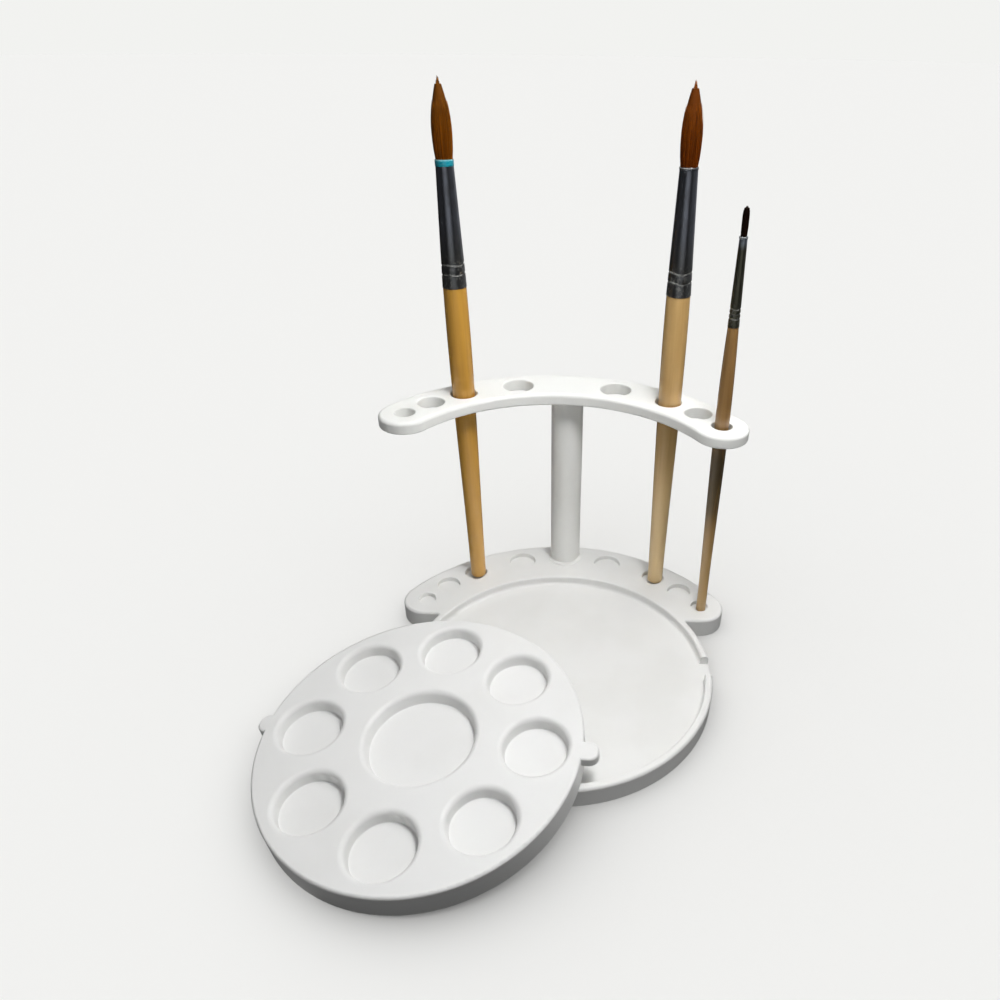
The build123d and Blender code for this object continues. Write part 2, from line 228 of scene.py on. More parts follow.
@dataclass(frozen=True)
class Plastic:
    """White moulded plastic with a satin skin, faint clouds of tone and fine scratches."""

    name: str
    clean: Colour = tint(0.80, 0.80, 0.785)
    dull: Colour = tint(0.745, 0.745, 0.72)
    dull_step: Step = (0.42, 0.7)
    dull_share: float = 0.55
    gloss: Step = (0.34, 0.5)
    clouds: Pattern = Pattern((30.0, 30.0, 30.0), 4.0)
    scratches: Pattern = Pattern((12.0, 0.35, 4.0), 2.0)
    scratch_turn: float = 33.0
    scratch_step: Step = (0.66, 0.74)
    scratched_clouds: Step = (0.5, 0.62)
    scratch_dulling: float = 0.12
    scratch_cut: float = 0.5
    skin: Pattern = Pattern((1.1, 1.1, 1.1))
    skin_depth: float = 0.02
    skin_strength: float = 0.5
    refraction: float = 1.49

    def material(self) -> bpy.types.Material:
        """Builds the material.

        Returns:
            The material.
        """
        graph = Graph(self.name)
        clouds = graph.noise(Matrix(), self.clouds)
        slant = Matrix.Rotation(math.radians(self.scratch_turn), 4, "Z")
        scratches = graph.band(graph.noise(slant, self.scratches), self.scratch_step)
        worn = graph.calc("MULTIPLY", scratches, graph.band(clouds, self.scratched_clouds))
        dull = graph.band(clouds, self.dull_step, 0.0, self.dull_share)
        rough = graph.calc("ADD", graph.band(clouds, MIDDLE, *self.gloss),
                           graph.calc("MULTIPLY", worn, self.scratch_dulling))
        skin = graph.calc("SUBTRACT", graph.noise(Matrix(), self.skin),
                          graph.calc("MULTIPLY", worn, self.scratch_cut))
        return graph.finish(Base_Color=graph.blend(dull, self.clean, self.dull), Roughness=rough,
                            Normal=graph.relief(skin, self.skin_depth, self.skin_strength), IOR=self.refraction)


@dataclass(frozen=True)
class Lacquer:
    """Lacquered wood of one handle: long fibres, dark pores, painted shade on the stretch under the rack and a
    lower end painted paler as light.

    Heights are counted in millimetres from the ferrule's mouth.
    """

    name: str
    pale: Colour
    deep: Colour
    # Painted light: the paler colour of the lower end stands in for light reflected up from the white tray.
    foot: Colour
    foot_share: float
    # The pores' own dark colour, also used for the painted shade under the rack.
    pore_and_shade: Colour
    rack_shade_share: float
    # Ends and fade of the painted shade under the rack, in millimetres from the mouth.
    rack_shade_low: float = -98.0
    rack_shade_high: float = -80.0
    rack_shade_fade: float = 9.0
    foot_step: Step = (-155.0, -100.0)
    fibres: Pattern = Pattern((1.1, 1.1, 32.0), 4.0, 0.4)
    fibre_share: float = 0.5
    fibre_height: float = 0.35
    streaks: Pattern = Pattern((3.4, 3.4, 110.0), 2.0, 0.6)
    streak_share: float = 0.6
    grain_step: Step = (0.34, 0.86)
    pores: Pattern = Pattern((0.28, 0.28, 3.4), 1.0)
    pore_step: Step = (0.66, 0.74)
    pore_share: float = 0.14
    blotches: Pattern = Pattern((2.2, 2.2, 20.0), 3.0, 0.6)
    blotch_step: Step = (0.2, 0.5)
    gloss: Step = (0.32, 0.46)
    rack_shade_dulling: float = 0.15
    skin_depth: float = 0.02
    skin_strength: float = 0.4
    coat: float = 0.5
    coat_roughness: float = 0.2

    def rack_shade(self, graph: Graph, place: Matrix) -> bpy.types.NodeSocket:
        """Painted shade in blotches along the stretch of the handle under the rack.

        Args:
            graph: The material's nodes.
            place: The brush's own frame.

        Returns:
            The painted shade's share.
        """
        along = graph.height(place)
        fade = self.rack_shade_fade
        rise = graph.band(along, (self.rack_shade_low - fade, self.rack_shade_low + fade))
        fall = graph.band(along, (self.rack_shade_high - fade, self.rack_shade_high + fade), 1.0, 0.0)
        stretch = graph.calc("MULTIPLY", rise, fall)
        blotches = graph.band(graph.noise(place, self.blotches), self.blotch_step)
        return graph.calc("MULTIPLY", graph.calc("MULTIPLY", stretch, blotches), self.rack_shade_share)

    def material(self, place: Matrix) -> bpy.types.Material:
        """Builds the material.

        Args:
            place: The brush's own frame, with its origin at the ferrule's mouth and Z along the brush.

        Returns:
            The material.
        """
        graph = Graph(self.name)
        fibres = graph.noise(place, self.fibres)
        grain = graph.calc("ADD", graph.calc("MULTIPLY", fibres, self.fibre_share),
                           graph.calc("MULTIPLY", graph.noise(place, self.streaks), self.streak_share))
        pores = graph.band(graph.noise(place, self.pores), self.pore_step)
        # Painted light: the lower end of the handle is painted paler.
        worn = graph.band(graph.height(place), self.foot_step, self.foot_share, 0.0)
        # Painted shade: the stretch under the rack is darkened where the rack's shadow falls.
        rack_shade = self.rack_shade(graph, place)
        colour = graph.blend(graph.band(grain, self.grain_step), self.pale, self.deep)
        colour = graph.blend(graph.calc("MULTIPLY", pores, self.pore_share), colour, self.pore_and_shade)
        colour = graph.blend(worn, colour, self.foot)
        colour = graph.blend(rack_shade, colour, self.pore_and_shade)
        rough = graph.calc("ADD", graph.band(fibres, MIDDLE, *self.gloss),
                           graph.calc("MULTIPLY", rack_shade, self.rack_shade_dulling))
        height = graph.calc("SUBTRACT", graph.calc("MULTIPLY", fibres, self.fibre_height), pores)
        return graph.finish(Base_Color=colour, Roughness=rough,
                            Normal=graph.relief(height, self.skin_depth, self.skin_strength),
                            Coat_Weight=self.coat, Coat_Roughness=self.coat_roughness)


@dataclass(frozen=True)
class Plating:
    """Nickel plate of a ferrule: fingermarks, a darker foot, painted highlights on the crimps and the lip, and
    a scuffed collar.

    Heights are counted in millimetres from the ferrule's mouth.
    """

    name: str
    bright: Colour
    dark: Colour
    foot_step: Step
    collar_step: Step
    gloss: float
    foot_share: float = 0.6
    collar_share: float = 0.4
    # Pale colour of the painted highlights on the crimps and the lip, and of the scuffs on the collar.
    worn: Colour = tint(0.62, 0.62, 0.58)
    glint_and_scuff_metal: float = 0.6
    glint_and_scuff_dulling: float = 0.15
    marks: Pattern = Pattern((4.0, 4.0, 7.0), 4.0, 0.8)
    mark_step: Step = (0.4, 0.75)
    mark_share: float = 0.35
    dulled_marks: Step = (0.35, 0.7)
    mark_dulling: float = 0.08
    flecks: Pattern = Pattern((1.5, 1.5, 1.5), 2.0)
    fleck_step: Step = (0.36, 0.62)
    fleck_shares: Step = (0.28, 0.9)
    scuffs: Pattern = Pattern((0.8, 0.8, 1.1), 2.0)
    scuff_step: Step = (0.5, 0.7)
    lines: Pattern = Pattern((20.0, 20.0, 0.12), 2.0)
    line_dulling: float = 0.03
    line_depth: float = 0.003
    line_strength: float = 0.3

    def glint_and_scuff(self, graph: Graph, place: Matrix) -> bpy.types.NodeSocket:
        """Where the plate is painted bright: flecks of painted highlight on the crimps and the lip, and scuffs
        of wear on the collar.

        Args:
            graph: The material's nodes.
            place: The brush's own frame.

        Returns:
            The share of painted highlight and scuffs.
        """
        painted_glint = graph.add("ShaderNodeAttribute", {}, attribute_name="painted_glint").outputs["Fac"]
        flecks = graph.band(graph.noise(place, self.flecks), self.fleck_step, *self.fleck_shares)
        collar = graph.band(graph.height(place), self.collar_step, self.collar_share, 0.0)
        scuffs = graph.band(graph.noise(place, self.scuffs), self.scuff_step)
        return graph.calc("MAXIMUM", graph.calc("MULTIPLY", painted_glint, flecks),
                          graph.calc("MULTIPLY", collar, scuffs))

    def material(self, place: Matrix) -> bpy.types.Material:
        """Builds the material.

        Args:
            place: The brush's own frame.

        Returns:
            The material.
        """
        graph = Graph(self.name)
        lines = graph.noise(place, self.lines)
        marks = graph.noise(place, self.marks)
        foot = graph.band(graph.height(place), self.foot_step, self.foot_share, 0.0)
        tone = graph.calc("MAXIMUM", graph.band(marks, self.mark_step, 0.0, self.mark_share), foot)
        glint_and_scuff = self.glint_and_scuff(graph, place)
        # Painted highlight on the crimps and the lip; the collar's scuffs are wear.
        colour = graph.blend(glint_and_scuff, graph.blend(tone, self.bright, self.dark), self.worn)
        rough = graph.band(marks, self.dulled_marks, self.gloss, self.gloss + self.mark_dulling)
        rough = graph.calc("ADD", rough, graph.band(lines, MIDDLE, 0.0, self.line_dulling))
        rough = graph.calc("ADD", rough, graph.calc("MULTIPLY", glint_and_scuff, self.glint_and_scuff_dulling))
        metal = graph.band(glint_and_scuff, (0.0, 1.0), 1.0, self.glint_and_scuff_metal)
        return graph.finish(Base_Color=colour, Metallic=metal, Roughness=rough,
                            Normal=graph.relief(lines, self.line_depth, self.line_strength))


@dataclass(frozen=True)
class HairTone:
    """Hair that changes colour from root to tip and from strand to strand."""

    name: str
    root: Colour
    tip: Colour
    shade: Colour
    length: float
    shade_share: float = 0.75
    gloss: Step = (0.4, 0.56)
    scales: Pattern = Pattern((0.2, 0.2, 0.9), 2.0)
    scale_depth: float = 0.008
    scale_strength: float = 0.4
    shine: float = 0.12

    def material(self, place: Matrix) -> bpy.types.Material:
        """Builds the material.

        Args:
            place: The brush's own frame.

        Returns:
            The material.
        """
        graph = Graph(self.name)
        tone = graph.add("ShaderNodeAttribute", {}, attribute_name="strand_tone").outputs["Fac"]
        colour = graph.blend(graph.band(graph.height(place), (0.0, self.length)), self.root, self.tip)
        colour = graph.blend(graph.band(tone, (0.0, 1.0), self.shade_share, 0.0), colour, self.shade)
        scales = graph.noise(place, self.scales)
        return graph.finish(Base_Color=colour, Roughness=graph.band(scales, MIDDLE, *self.gloss),
                            Normal=graph.relief(scales, self.scale_depth, self.scale_strength),
                            Specular_IOR_Level=self.shine)


@dataclass(frozen=True)
class Sleeve:
    """Coloured sleeve, paler along its top edge."""

    name: str = "teal_sleeve"
    colour: Colour = tint(0.006, 0.225, 0.29)
    pale: Colour = tint(0.28, 0.56, 0.58)
    pale_share: float = 0.7
    edge_step: Step = (0.0, 0.6)
    edge_rag: float = 0.5
    gloss: Step = (0.22, 0.4)
    mottle: Pattern = Pattern((1.2, 1.2, 0.6))
    skin_depth: float = 0.03
    skin_strength: float = 0.4
    coat: float = 0.6
    coat_roughness: float = 0.25

    def material(self, place: Matrix) -> bpy.types.Material:
        """Builds the material.

        Args:
            place: The brush's own frame.

        Returns:
            The material.
        """
        graph = Graph(self.name)
        mottle = graph.noise(place, self.mottle)
        ragged = graph.calc("ADD", graph.height(place), graph.calc("MULTIPLY", mottle, self.edge_rag))
        # The top edge is paler, along a ragged line.
        worn = graph.band(ragged, self.edge_step, 0.0, self.pale_share)
        return graph.finish(Base_Color=graph.blend(worn, self.colour, self.pale),
                            Roughness=graph.band(mottle, MIDDLE, *self.gloss),
                            Normal=graph.relief(mottle, self.skin_depth, self.skin_strength),
                            Coat_Weight=self.coat, Coat_Roughness=self.coat_roughness)


@dataclass(frozen=True)
class Hidden:
    """Finish of a small inner piece: a tone that clouds slightly."""

    name: str
    pale: Colour
    deep: Colour
    metal: float
    gloss: Step
    clouds: Pattern = Pattern((2.0, 2.0, 2.0), 4.0)
    skin_depth: float = 0.03
    skin_strength: float = 0.4

    def material(self) -> bpy.types.Material:
        """Builds the material.

        Returns:
            The material.
        """
        graph = Graph(self.name)
        clouds = graph.noise(Matrix(), self.clouds)
        return graph.finish(Base_Color=graph.blend(clouds, self.pale, self.deep), Metallic=self.metal,
                            Roughness=graph.band(clouds, MIDDLE, *self.gloss),
                            Normal=graph.relief(clouds, self.skin_depth, self.skin_strength))


@dataclass(frozen=True)
class Spine:
    """Centre line of a round part of the frame, with its radius at each end, in metres."""

    low: Vector
    high: Vector
    low_radius: float
    high_radius: float
    ring_slack: ClassVar[float] = 0.02 * MM
    digits: ClassVar[int] = 7

    @staticmethod
    def of(node: str, axis: Vector) -> "Spine":
        """Measures a round CAD node.

        Args:
            node: The node's name.
            axis: The direction of its centre line.

        Returns:
            Its centre line from its lowest ring to its highest.
        """
        mesh = frame["nodes"][node].data
        corners = {tuple(round(c, Spine.digits) for c in vertex.co) for vertex in mesh.vertices}
        points = [Vector(corner) for corner in corners]
        heights = [point.dot(axis) for point in points]
        ends = []
        for level in (min(heights), max(heights)):
            ring = [p for p, h in zip(points, heights) if abs(h - level) < Spine.ring_slack]
            middle = sum(ring, Vector()) / len(ring)
            ends.append((middle, max((p - middle).length for p in ring)))
        return Spine(ends[0][0], ends[1][0], ends[0][1], ends[1][1])

    @property
    def length(self) -> float:
        """Length of the centre line."""
        return (self.high - self.low).length

    @property
    def place(self) -> Matrix:
        """Frame with its origin at the high end and Z along the line."""
        turn = (self.high - self.low).to_track_quat("Z", "Y").to_matrix().to_4x4()
        return Matrix.Translation(self.high) @ turn

    def radius(self, height: float) -> float:
        """Radius at a height, in metres, that is negative below the high end."""
        share = 1 + height / self.length
        return self.low_radius + (self.high_radius - self.low_radius) * share


@dataclass
class Turned:
    """A round piece drawn up from a circle through rings, each a radius and a height in metres."""

    name: str
    sides: int
    rings: list[tuple[float, float]]
    closed: bool = False
    rounding: float = 35.0

    def build(self) -> bpy.types.Object:
        """Extrudes and scales a circle along the rings, and caps or closes it.

        Returns:
            The piece, in its own frame.
        """
        bpy.ops.object.select_all(action="DESELECT")
        first_radius, first_height = self.rings[0]
        bpy.ops.mesh.primitive_circle_add(vertices=self.sides, radius=first_radius,
                                          location=(0, 0, first_height))
        piece = bpy.context.object
        piece.name = self.name
        bpy.ops.object.transform_apply(location=True, rotation=True, scale=True)
        bpy.ops.object.mode_set(mode="EDIT")
        bpy.ops.mesh.select_all(action="SELECT")
        if not self.closed:
            bpy.ops.mesh.extrude_edges_move()
            bpy.ops.mesh.merge(type="CENTER")
            bpy.ops.mesh.select_all(action="DESELECT")
        bpy.ops.object.mode_set(mode="OBJECT")
        self.pick_ring(piece, first_radius, first_height)
        for (radius, height), (next_radius, next_height) in zip(self.rings, self.rings[1:]):
            self.draw_ring(radius, height, next_radius, next_height)
        if self.closed:
            self.close(piece)
        else:
            bpy.ops.mesh.extrude_edges_move()
            bpy.ops.mesh.merge(type="CENTER")
        bpy.ops.mesh.select_all(action="SELECT")
        bpy.ops.mesh.remove_doubles(threshold=SAME_POINT)
        bpy.ops.mesh.normals_make_consistent(inside=False)
        bpy.ops.object.mode_set(mode="OBJECT")
        only(piece)
        bpy.ops.object.shade_smooth_by_angle(angle=math.radians(self.rounding))
        return piece

    def pick_ring(self, piece: bpy.types.Object, radius: float, height: float) -> None:
        """Selects the edges of one ring and goes into edit mode again.

        Args:
            piece: The piece.
            radius: The ring's radius.
            height: The ring's height.
        """
        slack = SAME_POINT / 2
        mesh = piece.data
        hits = [abs(v.co.z - height) < slack and abs(v.co.xy.length - radius) < slack for v in mesh.vertices]
        for vertex, hit in zip(mesh.vertices, hits):
            vertex.select = hit
        for edge in mesh.edges:
            edge.select = hits[edge.vertices[0]] and hits[edge.vertices[1]]
        for face in mesh.polygons:
            face.select = False
        bpy.ops.object.mode_set(mode="EDIT")

    def draw_ring(self, radius: float, height: float, next_radius: float, next_height: float) -> None:
        """Extrudes the selected ring to the next one.

        Args:
            radius: The ring's radius.
            height: The ring's height.
            next_radius: The next ring's radius.
            next_height: The next ring's height.
        """
        rise = (0, 0, next_height - height)
        bpy.ops.mesh.extrude_edges_move(TRANSFORM_OT_translate={"value": rise})
        scale = next_radius / radius
        bpy.ops.transform.resize(value=(scale, scale, 1), center_override=(0, 0, next_height))

    def close(self, piece: bpy.types.Object) -> None:
        """Bridges the last ring to the first, so that a tube has its wall.

        Args:
            piece: The tube, in edit mode.
        """
        bpy.ops.object.mode_set(mode="OBJECT")
        counts = {tuple(sorted(edge.vertices)): 0 for edge in piece.data.edges}
        for face in piece.data.polygons:
            for key in face.edge_keys:
                counts[tuple(sorted(key))] += 1
        for edge in piece.data.edges:
            edge.select = counts[tuple(sorted(edge.vertices))] == 1
        bpy.ops.object.mode_set(mode="EDIT")
        bpy.ops.mesh.bridge_edge_loops()


def seat(piece: bpy.types.Object, place: Matrix, finish: bpy.types.Material) -> bpy.types.Object:
    """Puts a piece's mesh at its place and gives it its finish.

    Args:
        piece: The piece, built in its own frame.
        place: Where that frame lies.
        finish: The material.

    Returns:
        The piece.
    """
    piece.data.transform(place)
    piece.data.materials.clear()
    piece.data.materials.append(finish)
    return piece


def dress(node: str, finish: bpy.types.Material) -> None:
    """Gives a CAD node its finish.

    Args:
        node: The node's name.
        finish: The material.
    """
    mesh = frame["nodes"][node].data
    mesh.materials.clear()
    mesh.materials.append(finish)
    LOG.info("dressed %s with %s", node, finish.name)


@dataclass(frozen=True)
class FerruleForm:
    """Crimps and lip of a ferrule, in millimetres."""

    crimps: tuple[float, ...]
    crimp_width: float
    crimp_depth: float
    dimples: int
    wall: float
    wave: float
    sides: int = 80
    crimp_steps: int = 8
    crimp_waves: tuple[Wave, ...] = ((3, 1.0, 0.4), (5, 0.4, 2.0))
    crimp_glint_curve: float = 1.5
    dimple_share: float = 0.2
    dimple_twist: float = 1.7
    foot_height: float = 0.25
    barrel_steps: int = 12
    lip_height: float = 0.9
    lip_swell: float = 0.14
    lip_steps: int = 8
    lip_glint: float = 2.0
    lip_glint_share: float = 0.6
    inner_stride: int = 4

    def heights(self, length: float) -> list[float]:
        """Heights of the outer rings below the lip.

        Args:
            length: The ferrule's length.

        Returns:
            The heights over its lower edge.
        """
        heights = [0.0, self.foot_height]
        for middle in self.crimps:
            shares = [step / self.crimp_steps - 0.5 for step in range(self.crimp_steps + 1)]
            heights += [middle + self.crimp_width * share for share in shares]
        start = heights[-1]
        gap = length - self.lip_height - start
        return heights + [start + gap * (step + 1) / self.barrel_steps for step in range(self.barrel_steps)]

    def rings(self, spine: Spine) -> list[tuple[float, float]]:
        """Rings of the tube, up its outside, over the lip and down its inside.

        Args:
            spine: The ferrule's centre line.

        Returns:
            Radius and height of each ring in metres, counted from the mouth.
        """
        length = spine.length
        outside = []
        for height in self.heights(length / MM):
            radius = spine.radius(height * MM - length)
            outside.append((radius - self.groove(height) * MM, height * MM - length))
        top_radius = outside[-1][0]
        for step in range(1, self.lip_steps + 1):
            turn = math.pi * step / self.lip_steps
            swell = self.lip_swell * math.sin(turn)
            outside.append((top_radius + swell * MM, -self.lip_height * MM * (1 + math.cos(turn)) / 2))
        inside = [(radius - self.wall * MM, height) for radius, height in outside[::-self.inner_stride]]
        return outside + inside

    def groove(self, height: float) -> float:
        """Depth of the crimps at a height over the ferrule's lower edge.

        Args:
            height: The height in millimetres.

        Returns:
            The depth in millimetres.
        """
        for middle in self.crimps:
            off = abs(height - middle) / (self.crimp_width / 2)
            if off < 1:
                return self.crimp_depth * (1 + math.cos(math.pi * off)) / 2
        return 0.0

    def dent(self, piece: bpy.types.Object, length: float) -> None:
        """Presses dimples into each crimp, lets the crimps run up and down, and marks where highlights are
        painted on the crimps and the lip.

        Args:
            piece: The ferrule, in its own frame.
            length: Its length in metres.
        """
        painted_glint = []
        for vertex in piece.data.vertices:
            height = (vertex.co.z + length) / MM
            groove = self.groove(height)
            angle = math.atan2(vertex.co.y, vertex.co.x)
            press = groove * self.dimple_share * math.cos(self.dimples * angle + height * self.dimple_twist)
            scale = 1 - press * MM / vertex.co.xy.length
            vertex.co.x *= scale
            vertex.co.y *= scale
            reach = math.sin(math.pi * min(1.0, height / (2 * self.crimps[-1])))
            vertex.co.z += self.wave * reach * ripple(angle, self.crimp_waves) * MM
            # Painted highlight: the crimps and the lip are marked for a pale colour that stands in for their
            # glints.
            lip = max(0.0, 1.0 + (height - length / MM) / (self.lip_height * self.lip_glint_share))
            crimp = (groove / self.crimp_depth) ** self.crimp_glint_curve
            painted_glint.append(min(1.0, max(crimp, self.lip_glint * lip)))
        layer = piece.data.attributes.new("painted_glint", "FLOAT", "POINT")
        layer.data.foreach_set("value", painted_glint)


@dataclass(frozen=True)
class HairCut:
    """Sizes of a round pointed tuft, in millimetres."""

    length: float
    belly_radius: float
    belly_height: float
    strands: int
    strand_radius: float
    wobble: float
    root_depth: float = 2.0
    crown_drop: float = 0.3
    crown_curve: int = 2
    tip_narrowing: float = 0.9
    tip_curve: float = 1.8
    bulge: float = 0.55
    rings: int = 8
    strand_sides: int = 3
    strand_taper: float = 0.8
    taper_curve: int = 3
    sway_curve: int = 2
    angle_play: float = 0.08
    shortest: float = 0.955
    least_sway: float = 0.2
    darkest: float = 0.25
    core_share: float = 0.9
    core_steps: int = 14
    core_sides: int = 24
    core_rounding: float = 60.0

    def spread(self, height: float, belly_share: float) -> float:
        """How far the hair stands out at a height, as a share of its root.

        Args:
            height: The height over the ferrule's mouth.
            belly_share: The belly's radius over the root's.

        Returns:
            The share.
        """
        if height <= 0:
            return 1.0
        if height <= self.belly_height:
            rise = math.sin(math.pi / 2 * height / self.belly_height) ** self.bulge
            return 1.0 + (belly_share - 1.0) * rise
        past = min(1.0, (height - self.belly_height) / (self.length - self.belly_height))
        return belly_share * (1.0 - self.tip_narrowing * past ** self.tip_curve)


@dataclass
class Tuft:
    """The hair of one brush: fine tapered strands that fan out to a belly and draw in to a point."""

    name: str
    cut: HairCut
    root_radius: float
    seed: int

    def strand(self) -> bpy.types.Object:
        """Models one straight hair of unit size, ring by ring.

        Returns:
            The hair, one unit high a ring.
        """
        bpy.ops.object.select_all(action="DESELECT")
        bpy.ops.mesh.primitive_circle_add(vertices=self.cut.strand_sides, radius=1, fill_type="NGON")
        hair = bpy.context.object
        bpy.ops.object.mode_set(mode="EDIT")
        bpy.ops.mesh.select_all(action="SELECT")
        for _ in range(self.cut.rings):
            bpy.ops.mesh.extrude_region_move(TRANSFORM_OT_translate={"value": (0, 0, 1)})
        bpy.ops.mesh.select_all(action="SELECT")
        bpy.ops.mesh.normals_make_consistent(inside=False)
        bpy.ops.object.mode_set(mode="OBJECT")
        return hair

    def lay(self, hair: bpy.types.Mesh, index: int, chance: random.Random) -> None:
        """Bends one hair to its place in the tuft.

        Args:
            hair: The hair's own mesh.
            index: Its number, counted outwards.
            chance: The random source.
        """
        cut = self.cut
        share = math.sqrt((index + 0.5) / cut.strands)
        angle = index * GOLDEN_ANGLE + chance.uniform(-cut.angle_play, cut.angle_play)
        belly_share = cut.belly_radius / self.root_radius
        reach = (self.root_radius - cut.strand_radius) * share
        tip = cut.length * (1.0 - cut.crown_drop * share ** cut.crown_curve) * chance.uniform(cut.shortest, 1.0)
        drift = chance.uniform(0, 2 * math.pi)
        sway = chance.uniform(cut.least_sway, 1.0) * cut.wobble
        roll = chance.uniform(0, 2 * math.pi)
        for vertex in hair.vertices:
            along = vertex.co.z / cut.rings
            height = -cut.root_depth + (tip + cut.root_depth) * along
            scale = cut.spread(height, belly_share)
            thick = cut.strand_radius * (1.0 - cut.strand_taper * along ** cut.taper_curve)
            turn = math.atan2(vertex.co.y, vertex.co.x) + roll
            lean = sway * along ** cut.sway_curve
            x = scale * reach * math.cos(angle) + lean * math.cos(drift) + thick * math.cos(turn)
            y = scale * reach * math.sin(angle) + lean * math.sin(drift) + thick * math.sin(turn)
            vertex.co = Vector((x, y, height)) * MM

    def core(self) -> bpy.types.Object:
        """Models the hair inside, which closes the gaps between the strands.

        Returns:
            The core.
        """
        cut = self.cut
        belly_share = cut.belly_radius / self.root_radius
        rings = []
        for step in range(cut.core_steps + 1):
            height = -cut.root_depth + (cut.length * cut.core_share + cut.root_depth) * step / cut.core_steps
            radius = self.root_radius * cut.spread(height, belly_share) * cut.core_share
            rings.append((radius * MM, height * MM))
        return Turned(self.name + "_core", cut.core_sides, rings, rounding=cut.core_rounding).build()

    def tone(self, mesh: bpy.types.Mesh, value: float) -> None:
        """Stores a hair's tone on its points, from dark at 0 to light at 1."""
        layer = mesh.attributes.new("strand_tone", "FLOAT", "POINT")
        layer.data.foreach_set("value", [value] * len(mesh.vertices))

    def build(self) -> bpy.types.Object:
        """Copies the hair, lays each copy and joins them on the core.

        Returns:
            The tuft, in the brush's own frame.
        """
        chance = random.Random(self.seed)
        first = self.strand()
        parts = [self.core()]
        # Painted shade: the core, seen through the gaps between the strands, takes the darkest tone.
        self.tone(parts[0].data, 0.0)
        for index in range(self.cut.strands):
            hair = bpy.data.objects.new(self.name, first.data.copy())
            bpy.context.scene.collection.objects.link(hair)
            self.lay(hair.data, index, chance)
            self.tone(hair.data, chance.uniform(self.cut.darkest, 1.0))
            parts.append(hair)
        bpy.data.objects.remove(first)
        only(*parts)
        bpy.ops.object.join()
        tuft = bpy.context.object
        tuft.name = self.name
        bpy.ops.object.shade_smooth()
        return tuft


@dataclass
class Brush:
    """One brush: its handle and resin plug from the frame, its ferrule and hair modelled here."""

    side: Side
    lacquer: Lacquer
    plating: Plating
    tone: HairTone
    form: FerruleForm
    cut: HairCut
    ferrule_slot: str
    hair_slot: str
    seed: int
    root_gap: float = 0.06
    ferrule_rounding: float = 40.0

    @property
    def body(self) -> str:
        """Name of the brush's body."""
        return self.side.value

    def spine(self) -> Spine:
        """Centre line of the ferrule, from its lower edge to its mouth."""
        joint = next(j for j in frame["joints"] if j["child"] == self.body)
        return Spine.of(self.body + "_ferrule", Vector(joint["axis"]))

    def make_ferrule(self, spine: Spine) -> bpy.types.Object:
        """Models the ferrule with rolled crimps, dimples and a rolled lip.

        Args:
            spine: The ferrule's centre line.

        Returns:
            The ferrule.
        """
        name = self.body + "_ferrule_tube"
        piece = Turned(name, self.form.sides, self.form.rings(spine), closed=True,
                       rounding=self.ferrule_rounding).build()
        self.form.dent(piece, spine.length)
        seat(piece, spine.place, self.plating.material(spine.place))
        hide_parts(self.body + "_ferrule")
        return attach(piece, self.body)

    def make_hair(self, spine: Spine) -> bpy.types.Object:
        """Models the tuft.

        Args:
            spine: The ferrule's centre line.

        Returns:
            The tuft.
        """
        root_radius = spine.high_radius / MM - self.form.wall - self.root_gap
        piece = Tuft(self.body + "_hair", self.cut, root_radius, self.seed).build()
        seat(piece, spine.place, self.tone.material(spine.place))
        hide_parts(self.body + "_tuft")
        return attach(piece, self.body)

    def build(self, resin: bpy.types.Material) -> list[str]:
        """Dresses the handle and the plug, and models the rest.

        Args:
            resin: The plug's finish.

        Returns:
            Names of the pieces modelled.
        """
        spine = self.spine()
        dress(self.body + "_handle", self.lacquer.material(spine.place))
        dress(self.body + "_glue_plug", resin)
        made = [self.make_ferrule(spine), self.make_hair(spine)]
        for piece in made:
            LOG.info("modelled %s, %d faces", piece.name, len(piece.data.polygons))
        return [piece.name for piece in made]


